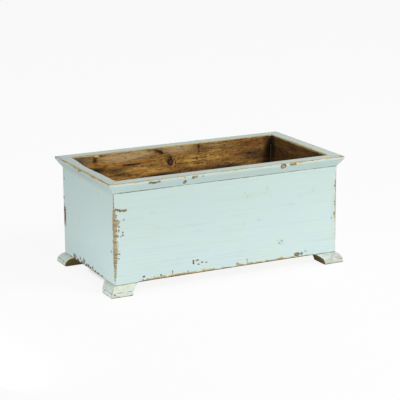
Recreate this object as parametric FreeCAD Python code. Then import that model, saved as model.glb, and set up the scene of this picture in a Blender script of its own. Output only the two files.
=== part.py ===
import FreeCAD
import Part
import os

# Wooden planter box, in millimetres, standing on z = 0 and centred on x = 0 and y = 0.
# The long front wall faces -y.

# Body
body_length = 610.0
body_width = 318.0
wall_height = 224.0
board_thickness = 18.0
rabbet_depth = 10.0
corner_radius = 2.0

# Rim
cap_height = 26.0
cap_fillet_height = 6.0
cap_overhang = 14.0
cap_arris_radius = 1.5

# Feet
foot_height = 25.5
foot_projection = 16.5
foot_top_size = 59.5
foot_undercut = 20.5
foot_bulge = 4.5
foot_hollow = 5.0
toe_radius = 2.5
arc_middle_share = 0.7071

# Floor
bearer_width = 30.0
bearer_height = 22.0
floor_thickness = 12.0
floor_drain_gap = 6.0
floor_edge_gap = 3.0
floor_end_gap = 2.0
floor_board_count = 3
floor_arris_radius = 1.0

# Brads, of rectangular wire with a T head, set a little below the surface
brad_width = 1.6
brad_thickness = 1.4
brad_head_width = 2.9
brad_head_height = 1.3
brad_tip_length = 2.5
brad_sink = 0.8
corner_brad_length = 45.0
cap_brad_length = 50.0
floor_brad_length = 30.0
bearer_brad_length = 38.0
corner_brad_height_shares = (0.15, 0.5, 0.85)
long_cap_brad_shares = (-0.42, -0.14, 0.14, 0.42)
short_cap_brad_shares = (-0.26, 0.26)
floor_brad_offset_share = 0.25
end_bearer_brad_shares = (-0.3, 0.0, 0.3)
middle_bearer_brad_share = 0.27

# Foot screws, with pan heads in counterbores under the feet
screw_length = 32.0
screw_radius = 2.0
screw_head_radius = 4.0
screw_head_height = 2.4
screw_recess_length = 4.4
screw_recess_width = 1.0
screw_recess_depth = 1.4
counterbore_depth = 8.0
counterbore_clearance = 0.5
screw_near_inset = 23.0
screw_far_inset = 33.0

# Cutting tools run this far past the faces that they cut
overrun = 2.0

half_length = body_length / 2
half_width = body_width / 2
wall_bottom = foot_height
wall_top = wall_bottom + wall_height
rim_top = wall_top + cap_height
lip_thickness = board_thickness - rabbet_depth
inner_length = body_length - 2 * board_thickness
inner_width = body_width - 2 * board_thickness
floor_bottom = wall_bottom + bearer_height
floor_top = floor_bottom + floor_thickness
floor_board_length = inner_length - 2 * floor_end_gap
floor_run = inner_width - 2 * floor_edge_gap + floor_drain_gap
floor_pitch = floor_run / floor_board_count
floor_board_width = floor_pitch - floor_drain_gap
bearer_centres = {
    "left": (bearer_width - inner_length) / 2,
    "middle": 0.0,
    "right": (inner_length - bearer_width) / 2,
}
corners = (
    ("back_right", 1, 1, 0),
    ("back_left", -1, 1, 90),
    ("front_left", -1, -1, 180),
    ("front_right", 1, -1, 270),
)

X = FreeCAD.Vector(1, 0, 0)
Y = FreeCAD.Vector(0, 1, 0)
Z = FreeCAD.Vector(0, 0, 1)


def point(x, y, z):
    return FreeCAD.Vector(x, y, z)


def polygon_prism(corner_points, sweep):
    """A straight prism: the closed polygon through the points, extruded along the sweep."""
    wire = Part.makePolygon(list(corner_points) + [corner_points[0]])
    return Part.Face(wire).extrude(sweep)


def outline_prism(edges, sweep):
    """A straight prism of a closed outline of lines and arcs."""
    return Part.Face(Part.Wire(edges)).extrude(sweep)


def line(start, end):
    return Part.LineSegment(start, end).toShape()


def arc(start, middle, end):
    return Part.Arc(start, middle, end).toShape()


def bowed_middle(start, end, rise, towards):
    """The middle of an arc between two points that rises from its chord towards a direction."""
    chord = end - start
    across = towards - chord * (towards.dot(chord) / chord.dot(chord))
    return (start + end) * 0.5 + across.normalize() * rise


def board(low, high):
    """A plain rectangular board between two opposite corners."""
    size = high - low
    return Part.makeBox(size.x, size.y, size.z, low)


def turned(shape, degrees):
    """The shape turned about the upright axis through the origin."""
    placed = shape.copy()
    placed.rotate(point(0, 0, 0), Z, degrees)
    return placed


# Fasteners


def brad_blank(length, rise):
    """A brad that points down from z = 0, with its head drawn up by the rise."""
    head = brad_head_width / 2
    wire = brad_width / 2
    taper = length - brad_tip_length
    profile = (
        (-head, rise),
        (head, rise),
        (head, -brad_head_height),
        (wire, -brad_head_height),
        (wire, -taper),
        (0, -length),
        (-wire, -taper),
        (-wire, -brad_head_height),
        (-head, -brad_head_height),
    )
    side = -brad_thickness / 2
    return polygon_prism([point(x, side, z) for x, z in profile], Y * brad_thickness)


def driven_down(x, y, surface, turn):
    """The place of a fastener driven straight down through a level surface."""
    return FreeCAD.Placement(point(x, y, surface - brad_sink), FreeCAD.Rotation(Z, turn))


def driven_in(x, y, z, heading):
    """The place of a fastener driven level, from a wall's outer face along the heading."""
    start = point(x, y, z) + heading * brad_sink
    return FreeCAD.Placement(start, FreeCAD.Rotation(-Z, heading))


def corner_brad_places():
    """Through the lips of the long walls into the ends of the short walls."""
    places = []
    middle_of_end = half_length - board_thickness / 2
    for share in corner_brad_height_shares:
        for side in (-1, 1):
            for end in (-1, 1):
                height = wall_bottom + wall_height * share
                places.append(driven_in(end * middle_of_end, side * half_width, height, Y * -side))
    return places


def cap_brad_places():
    """Down through the rim into the top edges of the walls."""
    places = []
    long_line = half_width - board_thickness / 2
    short_line = half_length - board_thickness / 2
    for side in (-1, 1):
        for share in long_cap_brad_shares:
            places.append(driven_down(body_length * share, side * long_line, rim_top, 0))
        for share in short_cap_brad_shares:
            places.append(driven_down(side * short_line, body_width * share, rim_top, 90))
    return places


def floor_board_centres():
    """The y of each floor board's middle line, from the front to the back."""
    first = (floor_pitch - floor_run) / 2
    return [first + floor_pitch * index for index in range(floor_board_count)]


def floor_brad_places():
    """Two down through each floor board into each bearer."""
    places = []
    offset = floor_board_width * floor_brad_offset_share
    for x in bearer_centres.values():
        for centre in floor_board_centres():
            for side in (-1, 1):
                places.append(driven_down(x, centre + side * offset, floor_top, 0))
    return places


def bearer_brad_places():
    """From outside through the walls into the bearers."""
    places = []
    height = wall_bottom + bearer_height / 2
    for side in (-1, 1):
        for share in end_bearer_brad_shares:
            places.append(driven_in(side * half_length, body_width * share, height, X * -side))
        for end in (-1, 1):
            across = end * bearer_width * middle_bearer_brad_share
            places.append(driven_in(across, side * half_width, height, Y * -side))
    return places


def screw_blank(head_radius, drop):
    """A pan head screw that points up from its seat at z = 0, with its head drawn down by the drop."""
    head = Part.makeCylinder(head_radius, drop, point(0, 0, -drop))
    return head.fuse(Part.makeCylinder(screw_radius, screw_length)).Solids[0]


def foot_screw():
    """A screw with a cross recess in its head."""
    screw = screw_blank(screw_head_radius, screw_head_height)
    reach = screw_recess_length / 2
    side = screw_recess_width / 2
    recess_top = screw_recess_depth - screw_head_height
    slot = board(point(-reach, -side, -screw_head_height - overrun), point(reach, side, recess_top))
    return screw.cut(slot.fuse(turned(slot, 90))).Solids[0]


def foot_screw_places():
    """Two under each foot, up into the end bearer."""
    places = []
    for name, along, across, turn in corners:
        for inset_x, inset_y in ((screw_near_inset, screw_far_inset), (screw_far_inset, screw_near_inset)):
            x = along * (half_length - inset_x)
            y = across * (half_width - inset_y)
            places.append(FreeCAD.Placement(point(x, y, counterbore_depth), FreeCAD.Rotation()))
    return places


def set_out(shape, places):
    """Copies of one shape, one at each place."""
    copies = []
    for place in places:
        copy = shape.copy()
        copy.Placement = place
        copies.append(copy)
    return copies


brad_groups = {
    "corner_brads": (corner_brad_length, corner_brad_places()),
    "cap_brads": (cap_brad_length, cap_brad_places()),
    "floor_brads": (floor_brad_length, floor_brad_places()),
    "bearer_brads": (bearer_brad_length, bearer_brad_places()),
}


def fastener_holes():
    """Every hole that the fasteners fill, each open to the surface it was driven through."""
    holes = []
    for length, places in brad_groups.values():
        holes += set_out(brad_blank(length, brad_sink + overrun), places)
    counterbore = screw_head_radius + counterbore_clearance
    holes += set_out(screw_blank(counterbore, counterbore_depth + overrun), foot_screw_places())
    return holes


all_holes = fastener_holes()


def drilled(shape):
    """The piece with the holes of the fasteners that pass through it."""
    met = [hole for hole in all_holes if hole.BoundBox.intersect(shape.BoundBox)]
    return shape.cut(met).Solids[0]


# Walls


def long_wall():
    """The front wall: a full-length board, rabbeted at both ends to lap over the end walls."""
    outside = -half_width
    lip = outside + lip_thickness
    inside = outside + board_thickness
    shoulder = half_length - board_thickness
    eased = half_length - corner_radius
    easing = corner_radius * arc_middle_share
    plan = []
    for side in (1, -1):
        flat = point(side * eased, outside, wall_bottom)
        middle = point(side * (eased + easing), outside + corner_radius - easing, wall_bottom)
        upright = point(side * half_length, outside + corner_radius, wall_bottom)
        end = point(side * half_length, lip, wall_bottom)
        step = point(side * shoulder, lip, wall_bottom)
        inner = point(side * shoulder, inside, wall_bottom)
        plan += [arc(flat, middle, upright), line(upright, end), line(end, step), line(step, inner)]
    plan.append(line(point(-eased, outside, wall_bottom), point(eased, outside, wall_bottom)))
    plan.append(line(point(-shoulder, inside, wall_bottom), point(shoulder, inside, wall_bottom)))
    return outline_prism(Part.sortEdges(plan)[0], Z * wall_height)


def end_wall():
    """The right end wall, held in the rabbets of the long walls."""
    reach = half_width - lip_thickness
    low = point(half_length - board_thickness, -reach, wall_bottom)
    return board(low, point(half_length, reach, wall_top))


# Rim


def cap_bar(run):
    """A bar of the rim's section along x, outside towards -y, with the wall's outer face at y = 0."""
    bevel_top = rim_top - cap_fillet_height
    easing = cap_arris_radius * (1 - arc_middle_share)

    def at(out, z):
        return point(-run / 2, -out, z)

    inner_low = at(-board_thickness, wall_top)
    wall_line = at(0, wall_top)
    bevel_edge = at(cap_overhang, bevel_top)
    fillet_top = at(cap_overhang, rim_top - cap_arris_radius)
    outer_middle = at(cap_overhang - easing, rim_top - easing)
    outer_flat = at(cap_overhang - cap_arris_radius, rim_top)
    inner_flat = at(cap_arris_radius - board_thickness, rim_top)
    inner_middle = at(easing - board_thickness, rim_top - easing)
    inner_top = at(-board_thickness, rim_top - cap_arris_radius)
    section = [
        line(inner_low, wall_line),
        line(wall_line, bevel_edge),
        line(bevel_edge, fillet_top),
        arc(fillet_top, outer_middle, outer_flat),
        line(outer_flat, inner_flat),
        arc(inner_flat, inner_middle, inner_top),
        line(inner_top, inner_low),
    ]
    return outline_prism(section, X * run)


def mitred_cap(length, width):
    """A length of rim on the -y side of a rectangle of walls, cut to its mitres."""
    margin = cap_overhang + overrun
    bar = cap_bar(length + 2 * margin)
    bar.translate(point(0, -width / 2, 0))
    outer_x = length / 2 + margin
    outer_y = -width / 2 - margin
    ridge_x = outer_x + outer_y
    field = [
        point(-outer_x, outer_y, wall_bottom),
        point(outer_x, outer_y, wall_bottom),
        point(ridge_x, 0, wall_bottom),
        point(-ridge_x, 0, wall_bottom),
    ]
    if ridge_x < 0:
        field = field[:2] + [point(0, outer_y + outer_x, wall_bottom)]
    return bar.common(polygon_prism(field, Z * (rim_top + overrun))).Solids[0]


# Feet


def foot_profile(depth):
    """A bar of the foot's section: rounded out below the wall, hollowed on the inner side."""
    inner_bottom = foot_undercut - foot_top_size

    def at(out, z):
        return point(out, -depth / 2, z)

    top_inner = at(-foot_top_size, foot_height)
    top_outer = at(0, foot_height)
    toe_top = at(foot_projection, toe_radius)
    toe_in = toe_radius * (1 - arc_middle_share)
    toe_middle = at(foot_projection - toe_in, toe_in)
    toe_bottom = at(foot_projection - toe_radius, 0)
    heel = at(inner_bottom, 0)
    outer_middle = bowed_middle(top_outer, toe_top, foot_bulge, X)
    inner_middle = bowed_middle(heel, top_inner, foot_hollow, X)
    section = [
        line(top_inner, top_outer),
        arc(top_outer, outer_middle, toe_top),
        arc(toe_top, toe_middle, toe_bottom),
        line(toe_bottom, heel),
        arc(heel, inner_middle, top_inner),
    ]
    return outline_prism(section, Y * depth)


def foot_block():
    """The back right foot: the same section worked along both pairs of sides of one block."""
    depth = 2 * (foot_top_size + foot_projection)
    along_y = foot_profile(depth)
    along_x = turned(along_y, 90)
    return along_y.common(along_x).Solids[0]


# Floor


def floor_board(centre):
    """A floor board with its upper long arrises taken off."""
    reach = floor_board_length / 2
    low = point(-reach, centre - floor_board_width / 2, floor_bottom)
    blank = board(low, point(reach, centre + floor_board_width / 2, floor_top))
    arrises = [e for e in blank.Edges if e.BoundBox.ZMin > floor_bottom and e.BoundBox.XLength > 0]
    return blank.makeFillet(floor_arris_radius, arrises)


def bearer(centre):
    """A bearer across the box, flush with the bottom of the walls."""
    side = bearer_width / 2
    low = point(centre - side, -inner_width / 2, wall_bottom)
    return board(low, point(centre + side, inner_width / 2, floor_bottom))


def pieces():
    """Every piece of the planter by its name."""
    made = {
        "front_wall": long_wall(),
        "back_wall": turned(long_wall(), 180),
        "right_end_wall": end_wall(),
        "left_end_wall": turned(end_wall(), 180),
        "front_cap": mitred_cap(body_length, body_width),
        "back_cap": turned(mitred_cap(body_length, body_width), 180),
        "right_cap": turned(mitred_cap(body_width, body_length), 90),
        "left_cap": turned(mitred_cap(body_width, body_length), 270),
    }
    for name, along, across, turn in corners:
        foot = turned(foot_block(), turn)
        foot.translate(point(along * half_length, across * half_width, 0))
        made[name + "_foot"] = foot
    for name, centre in zip(("front", "middle", "back"), floor_board_centres()):
        made[name + "_floor_board"] = floor_board(centre)
    for name, centre in bearer_centres.items():
        made[name + "_bearer"] = bearer(centre)
    return {name: drilled(shape) for name, shape in made.items()}


def fasteners():
    """The brads and screws, one group of separate solids for each kind."""
    groups = {}
    for name, (length, places) in brad_groups.items():
        groups[name] = Part.makeCompound(set_out(brad_blank(length, 0), places))
    groups["foot_screws"] = Part.makeCompound(set_out(foot_screw(), foot_screw_places()))
    return groups


os.makedirs("parts", exist_ok=True)
for node, shape in {**pieces(), **fasteners()}.items():
    shape.exportStep("parts/" + node + ".step")
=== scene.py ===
import math
import bmesh
import bpy
from mathutils import Matrix, Vector, noise


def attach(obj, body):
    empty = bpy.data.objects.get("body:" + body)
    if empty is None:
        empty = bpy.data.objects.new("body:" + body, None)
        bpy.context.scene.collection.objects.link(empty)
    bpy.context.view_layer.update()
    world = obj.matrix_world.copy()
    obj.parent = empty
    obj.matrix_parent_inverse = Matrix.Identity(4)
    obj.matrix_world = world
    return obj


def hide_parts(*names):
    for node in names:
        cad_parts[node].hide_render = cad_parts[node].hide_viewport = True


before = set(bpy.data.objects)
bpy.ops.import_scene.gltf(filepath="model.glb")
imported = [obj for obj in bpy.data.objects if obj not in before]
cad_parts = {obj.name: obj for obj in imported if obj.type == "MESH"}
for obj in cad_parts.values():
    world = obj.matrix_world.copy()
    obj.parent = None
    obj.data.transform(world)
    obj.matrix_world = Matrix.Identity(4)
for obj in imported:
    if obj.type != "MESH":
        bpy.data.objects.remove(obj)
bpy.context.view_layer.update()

scene = bpy.context.scene

# The box in metres, with its feet on the floor and its front towards -y
mm = 0.001
wall_face_x = 0.305
wall_face_y = 0.159
wall_thickness = 0.018
lip_thickness = 0.008
wall_bottom = 0.0255
wall_top = 0.2495
rim_face_x = 0.319
rim_face_y = 0.173
rim_fillet_bottom = 0.2695
rim_top = 0.2755
foot_reach = 0.0165
foot_top_depth = 0.0595
foot_bottom_depth = 0.039
foot_bulge = 0.0045
foot_hollow = 0.005
toe_radius = 0.0025
counterbore_radius = 0.0045
counterbore_depth = 0.008
screw_insets = ((0.023, 0.033), (0.033, 0.023))

# How far edges are eased and worn down, and where wear, dirt and painted shade lie
corner_easing = 0.0014
rim_easing = 0.0014
foot_easing = 0.0012
blunt_foot_easing = 0.0045
wall_bite = 0.0006
rim_bite = 0.0002
foot_bite = 0.0003
least_reach = 0.0004
stain_wrap = 0.001
edge_shade_rise = 0.0005
foot_shade_rise = 0.004
crest_height = 0.0115
crest_dirt_standoff = 0.0008
toe_wear_height = 0.001
sole_height = 0.0003
hole_margin = 0.001

# How finely the shapes are cut, near their ends and between, and how wide the fine part is
wall_slices = (0.0016, 0.0045, 0.02)
rim_length_slices = (0.002, 0.0036, 0.02)
rim_width_slices = (0.002, 0.004, 0.005)
rim_height_slices = (0.0015, 0.003, 0.007)
foot_heights = [0, 0.0003, 0.0008, 0.0015, 0.0025, 0.005, 0.0075, 0.0095, 0.0115, 0.014, 0.017, 0.0195,
                0.0215, 0.023, 0.0243, 0.0251, wall_bottom]
foot_cuts = 24
hole_sides = 24
sharp_angle = math.radians(32)
weld_distance = 1e-6
near_distance = 1e-5


def linear(red, green, blue):
    """A colour read off as 0 to 255, as a shader takes it."""
    shares = [value / 255 for value in (red, green, blue)]
    return tuple(s / 12.92 if s <= 0.04045 else ((s + 0.055) / 1.055) ** 2.4 for s in shares) + (1.0,)


# Colours of the finishes
paint_cool = linear(206, 226, 226)
paint_warm = linear(210, 228, 223)
paint_in_grain = linear(182, 203, 195)
# Greyer paint, laid on more towards the top as painted shade
paint_shaded_top = linear(180, 198, 190)
paint_yellowed = linear(230, 214, 142)
paint_stained = linear(178, 186, 168)
paint_greyed = linear(164, 161, 146)
paint_smudged = linear(158, 166, 162)
paint_worn_thin = linear(230, 235, 226)
paint_cream = linear(222, 214, 166)
dust = linear(192, 186, 150)
# Dark brown for dirt in joints, and for painted shade along the walls' bottom edges and on the feet under the
# walls
dirt_and_shade_brown = linear(98, 82, 58)
bare_pine = linear(194, 178, 138)
bare_pine_late = linear(130, 114, 80)
bare_golden = linear(222, 188, 112)
chip_rim = linear(84, 72, 50)
stain_light = linear(204, 154, 74)
stain_dark = linear(98, 64, 28)
stain_golden = linear(226, 178, 92)
stain_amber = linear(190, 112, 40)
stain_ruddy = linear(118, 62, 28)
stain_pale = linear(212, 184, 136)
# Near-black brown for deep flecks in the stain, and for painted shade inside the box
deep_stain_and_shade = linear(38, 25, 14)
stain_olive = linear(96, 94, 54)
knot_black = linear(36, 24, 14)
knot_red = linear(120, 60, 26)
steel_grey = linear(128, 128, 124)
steel_dull = linear(84, 80, 74)

# How often each noise repeats in a metre, along x, y and z
ring_wander = (4, 22, 22)
wood_fibre = (11, 240, 240)
wood_tone = (5, 20, 20)
knot_wobble = (130, 130, 130)
torn_paint = (70, 230, 230)
fine_tears = (240, 560, 560)
dark_specks = (150, 420, 420)
paint_mottle = (14, 34, 34)
brush_strokes = (8, 230, 230)
stain_flecks = (60, 300, 300)
stain_specks = (150, 400, 400)
stain_streaks = (26, 260, 260)
stain_edge = (90, 300, 300)
thin_patches = (90, 90, 150)
cream_patches = (70, 70, 300)
dirt_and_shade_patches = (60, 60, 60)
steel_tarnish = (420, 420, 420)
ragged_scale = 260
reach_waver_scale = 90
bite_scale = 120

# Places and sizes in the finishes, in metres
board_heart = (0.0, -0.02, -0.05)
ring_width = 0.0046
next_board_shift = (0.31, 0.013, 0.057)
chip_stray = 0.007
stain_stray = 0.003
relief_depth = 0.0004
top_shade_from = 0.02
golden_rim = (0.235, 0.265)
golden_low_edge_end = (0.044, 0.03)
golden_low_edge_start = (0.0245, 0.026)
shadow_ends = (0.29, 0.25)
shadow_sides = (0.085, 0.055)
floor_half_size = 30


# Shader nodes, in short
class Wire:
    """What one shader node puts out, for use in plain sums."""

    def __init__(self, tree, socket):
        self.tree = tree
        self.socket = socket

    def __add__(self, other):
        return maths("ADD", self, other)

    def __sub__(self, other):
        return maths("SUBTRACT", self, other)

    def __rsub__(self, other):
        return maths("SUBTRACT", other, self)

    def __mul__(self, other):
        return maths("MULTIPLY", self, other)

    def __truediv__(self, other):
        return maths("DIVIDE", self, other)


def wire_up(made, wires):
    """Join each named input of a node to a wire, or set it to a value."""
    for key, value in wires.items():
        if isinstance(value, Wire):
            value.tree.links.new(value.socket, made.inputs[key])
        else:
            made.inputs[key].default_value = value


def node(tree, kind, wires, put=0, **settings):
    """What a new node puts out."""
    made = tree.nodes.new(kind)
    for name, value in settings.items():
        setattr(made, name, value)
    wire_up(made, wires)
    return Wire(tree, made.outputs[put])


def tree_of(*values):
    return next(value.tree for value in values if isinstance(value, Wire))


def maths(operation, *values):
    return node(tree_of(*values), "ShaderNodeMath", dict(enumerate(values)), operation=operation)


def larger(first, second):
    return maths("MAXIMUM", first, second)


def nothing_yet(tree):
    return node(tree, "ShaderNodeMath", {0: 0.0, 1: 0.0}, operation="ADD")


def vector(operation, *values):
    put = "Value" if operation == "LENGTH" else "Vector"
    return node(tree_of(*values), "ShaderNodeVectorMath", dict(enumerate(values)), put, operation=operation)


def blend(share, first, second):
    wires = {0: share, 6: first, 7: second}
    return node(tree_of(share, first, second), "ShaderNodeMix", wires, 2, data_type="RGBA")


def ease(value, none_at, full_at):
    """0 at one value, 1 at the other and smooth between."""
    wires = {"Value": value, "From Min": none_at, "From Max": full_at}
    return node(value.tree, "ShaderNodeMapRange", wires, interpolation_type="SMOOTHSTEP")


def cloud(place, repeats, detail=2.0, roughness=0.5):
    """Noise that repeats about so often in a metre."""
    wires = {"Vector": vector("MULTIPLY", place, repeats), "Scale": 1.0}
    return node(place.tree, "ShaderNodeTexNoise", {**wires, "Detail": detail, "Roughness": roughness}, "Fac")


def new_group(name, given, put):
    """A group's tree, and what the group takes in: values, but for these places and colours."""
    kinds = dict.fromkeys(("Place", "Heart", "Centre", "Half Size"), "NodeSocketVector")
    kinds.update(dict.fromkeys(("Stain", "Color"), "NodeSocketColor"))
    tree = bpy.data.node_groups.new(name, "ShaderNodeTree")
    for way, labels in (("INPUT", given), ("OUTPUT", put)):
        for label in labels:
            kind = kinds.get(label, "NodeSocketFloat")
            tree.interface.new_socket(label, in_out=way, socket_type=kind)
    taken = tree.nodes.new("NodeGroupInput").outputs
    return tree, {label: Wire(tree, taken[label]) for label in given}


def give(tree, **made):
    """Join what a group has made to what it puts out."""
    wire_up(tree.nodes.new("NodeGroupOutput"), made)
    return tree


def use(group, wires):
    """What a group puts out, by name."""
    tree = tree_of(*wires.values())
    made = tree.nodes.new("ShaderNodeGroup")
    made.node_tree = group
    wire_up(made, wires)
    return {socket.name: Wire(tree, socket) for socket in made.outputs}


def piece_value(tree, name):
    return node(tree, "ShaderNodeAttribute", {}, "Fac", attribute_name=name)


# Effects that several finishes share
def pine_grain_group():
    """Growth rings round a heart that runs along x, with fibres and slow changes of tone."""
    tree, took = new_group("pine grain", ("Place", "Heart", "Ring Width"), ("Ring", "Fibre", "Tone"))
    place = took["Place"]
    from_heart = vector("MULTIPLY", vector("SUBTRACT", place, took["Heart"]), (0.0, 1.0, 1.0))
    count = vector("LENGTH", from_heart) / took["Ring Width"]
    turn = maths("FRACT", count + cloud(place, ring_wander, 3.0) * 2.6)
    late = ease(turn, 0.25, 0.88) * ease(turn, 1.0, 0.9)
    fibre = cloud(place, wood_fibre, 4.0, 0.65)
    return give(tree, Ring=late, Fibre=fibre, Tone=cloud(place, wood_tone, 3.0, 0.6))


def knot_group():
    """One knot through a board: it bends the grain round it and gives its own dark eye."""
    tree, took = new_group("knot", ("Place", "So Far", "Centre", "Radius"), ("Place", "Knot"))
    place = took["Place"]
    away = vector("MULTIPLY", vector("SUBTRACT", place, took["Centre"]), (0.85, 0.0, 0.6))
    gap = vector("LENGTH", away) / took["Radius"]
    bend = ease(gap, 3.6, 0.2) * (took["Radius"] * 1.5)
    bent = vector("ADD", place, node(tree, "ShaderNodeCombineXYZ", {"Z": bend}))
    eye = 1.45 - (gap + cloud(place, knot_wobble) * 0.5)
    return give(tree, Place=bent, Knot=larger(took["So Far"], eye))


def spot_group():
    """One oval spot, 1 at its middle and 0 at its rim, laid over the spots so far."""
    tree, took = new_group("spot", ("So Far", "Place", "Centre", "Half Size", "Strength"), ("Field",))
    away = vector("DIVIDE", vector("SUBTRACT", took["Place"], took["Centre"]), took["Half Size"])
    field = larger(1.0 - vector("LENGTH", away), 0.0) * took["Strength"]
    return give(tree, Field=larger(took["So Far"], field))


def paint_loss_group():
    """Where paint is gone, from worn arrises and chips, torn along the grain, and where bare wood shows."""
    tree, took = new_group("paint loss", ("Place", "Wear", "Chips"), ("Loss", "Bare"))
    place = took["Place"]
    torn = cloud(place, torn_paint, 4.0, 0.65) - 0.5
    fine = cloud(place, fine_tears, 3.0, 0.6) - 0.5
    rough = torn * 1.5 + fine * 1.1
    rubbed = took["Wear"] + rough
    chipped = took["Chips"] * 1.5 + rough * 0.8
    lost = larger(ease(rubbed, 0.3, 0.42), ease(chipped, 0.32, 0.42))
    bare = larger(ease(rubbed, 0.24, 0.34), ease(chipped, 0.62, 0.9))
    specks = ease(cloud(place, dark_specks, 3.0, 0.65), 0.56, 0.66)
    return give(tree, Loss=lost, Bare=bare - specks * 0.6)


def aged_paint_group():
    """The pale blue-green paint: brushed along the grain, mottled, darker towards the top as painted shade,
    dusty on top and stained in spots.
    """
    given = ("Place", "Ring", "Stain", "Stained", "Dust", "Shaded Top", "Grain")
    tree, took = new_group("aged paint", given, ("Color",))
    mottle = cloud(took["Place"], paint_mottle, 4.0, 0.6)
    brushed = cloud(took["Place"], brush_strokes, 3.0)
    colour = blend(ease(mottle, 0.35, 0.65), paint_cool, paint_warm)
    # Painted shade: the paint grows darker towards the top
    colour = blend(took["Shaded Top"] * 0.42, colour, paint_shaded_top)
    lines = took["Ring"] * ease(mottle, 0.38, 0.7) * took["Grain"]
    colour = blend(lines * 0.3, colour, paint_in_grain)
    strokes = ease(brushed, 0.5, 0.75) * took["Grain"]
    colour = blend(strokes * 0.28, colour, paint_in_grain)
    colour = blend(took["Stained"] * 0.6, colour, took["Stain"])
    return give(tree, Color=blend(took["Dust"] * ease(mottle, 0.25, 0.6), colour, dust))


pine_grain = pine_grain_group()
knot_through = knot_group()
spot = spot_group()
paint_loss = paint_loss_group()
aged_paint = aged_paint_group()


# Finishes
def new_finish(name):
    """A material, its shader and the place on the part."""
    material = bpy.data.materials.new(name)
    material.use_nodes = True
    tree = material.node_tree
    return material, tree.nodes["Principled BSDF"], node(tree, "ShaderNodeTexCoord", {}, "Object")


def spots_over(place, spots):
    """The field of a list of spots, each a place and half sizes in millimetres, and a strength."""
    field = nothing_yet(place.tree)
    for x, y, z, half_x, half_y, half_z, strength in spots:
        wires = {"So Far": field, "Place": place, "Strength": strength}
        wires["Centre"] = (x * mm, y * mm, wall_bottom + z * mm)
        wires["Half Size"] = (half_x * mm, half_y * mm, half_z * mm)
        field = use(spot, wires)["Field"]
    return field


def knots_in(place, knots):
    """Grain bent round a list of knots, and their eyes."""
    eye = nothing_yet(place.tree)
    for along, across, radius in knots:
        wires = {"Place": place, "So Far": eye, "Radius": radius * mm}
        wires["Centre"] = (along * mm, 0.0, across * mm)
        made = use(knot_through, wires)
        place = made["Place"]
        eye = made["Knot"]
    return place, eye


def strayed(place, ragged, amount):
    """A place shifted by ragged noise, which frays the spots laid there."""
    return vector("ADD", place, vector("MULTIPLY", ragged, (amount, amount, amount)))


def shallow_relief(relief):
    wires = {"Height": relief, "Strength": 0.5, "Distance": relief_depth}
    return node(relief.tree, "ShaderNodeBump", wires)


def stained_colour(along, knots, tones, deep):
    """Brown-stained pine: light early wood, dark late wood, flecks and knots, and places of other tones; the
    dark tone also lays painted shade where a finish gives it.
    """
    along, eye = knots_in(along, knots)
    grain = use(pine_grain, {"Place": along, "Heart": board_heart, "Ring Width": ring_width})
    flecks = ease(cloud(along, stain_flecks, 4.0, 0.7), 0.5, 0.62)
    specks = cloud(along, stain_specks, 3.0, 0.7)
    darkness = grain["Ring"] * 0.2 + ease(grain["Fibre"], 0.4, 0.6) * 0.36
    darkness = darkness + ease(grain["Tone"], 0.4, 0.62) * 0.5 + ease(specks, 0.5, 0.4) * 0.4
    colour = blend(darkness, stain_light, stain_dark)
    colour = blend(tones["ruddy"] * 0.7, colour, stain_ruddy)
    streaks = ease(cloud(along, stain_streaks, 3.0, 0.65), 0.46, 0.62)
    streaks = larger(streaks, ease(specks, 0.54, 0.64))
    colour = blend(streaks * (tones["golden"] + 0.18), colour, stain_golden)
    colour = blend(tones["amber"] * 0.8, colour, stain_amber)
    colour = blend(tones["pale"] * 0.75, colour, stain_pale)
    colour = blend(flecks * 0.6, colour, deep)
    colour = blend(tones["dark"], colour, deep)
    colour = blend(ease(eye, 0.0, 0.45), colour, knot_black)
    return blend(ease(eye, 0.62, 0.95), colour, knot_red), grain


def washed_out(paint, place, wash):
    """Paint worn thin in patches, pale in some and cream in others."""
    thin = ease(cloud(place, thin_patches, 4.0, 0.65), 0.42, 0.58)
    paint = blend(thin * wash, paint, paint_worn_thin)
    cream = ease(cloud(place, cream_patches, 4.0, 0.65), 0.52, 0.64)
    return blend(cream * wash, paint, paint_cream)


def bare_wood(grain, height):
    """Bare pine, more golden at the rim and along the walls' lowest edge."""
    streaks = grain["Ring"] * 0.5 + ease(grain["Fibre"], 0.42, 0.7)
    bare = blend(streaks, bare_pine, bare_pine_late)
    low_edge = ease(height, *golden_low_edge_end) * ease(height, *golden_low_edge_start)
    golden = larger(ease(height, *golden_rim), low_edge)
    return blend(golden * 0.42, bare, bare_golden)


even_tone = {"dark": 0.0, "ruddy": 0.0, "amber": 0.0, "golden": 0.0, "pale": 0.0}


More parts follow.
